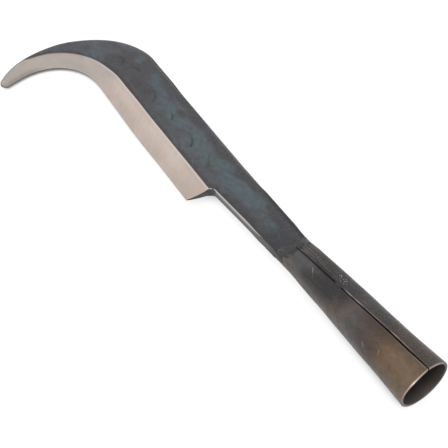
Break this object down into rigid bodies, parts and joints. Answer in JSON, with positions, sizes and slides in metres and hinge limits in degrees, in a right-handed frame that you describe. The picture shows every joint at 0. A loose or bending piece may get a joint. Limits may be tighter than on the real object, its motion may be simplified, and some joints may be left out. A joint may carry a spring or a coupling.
{
  "type": "billhook head",
  "caption": "Forged billhook head: straight cutting edge and hooked tip with a ground bevel, on a flat neck welded to a rolled tapered socket with an open seam for a wooden handle.",
  "frame": {"origin": "centre of the socket's round mouth, where the handle goes in", "axes": "+X along the socket's axis from the mouth towards the blade, +Y towards the cutting edge, +Z out of the blade's upper face, on the side of the open seam"},
  "size_m": [0.4191, 0.117, 0.038],
  "materials": {
    "forged_blade": "dark forge scale on the faces, bright ground bevel along the edge",
    "rolled_socket": "heat-tinted bronze and charcoal oxide, ground rim",
    "weld": "scaled weld metal, lightly dressed"
  },
  "bodies": {
    "root": {"blade": "forged_blade", "socket": "rolled_socket", "throat_weld": "weld", "seam_tack": "weld"}
  },
  "joints": []
}
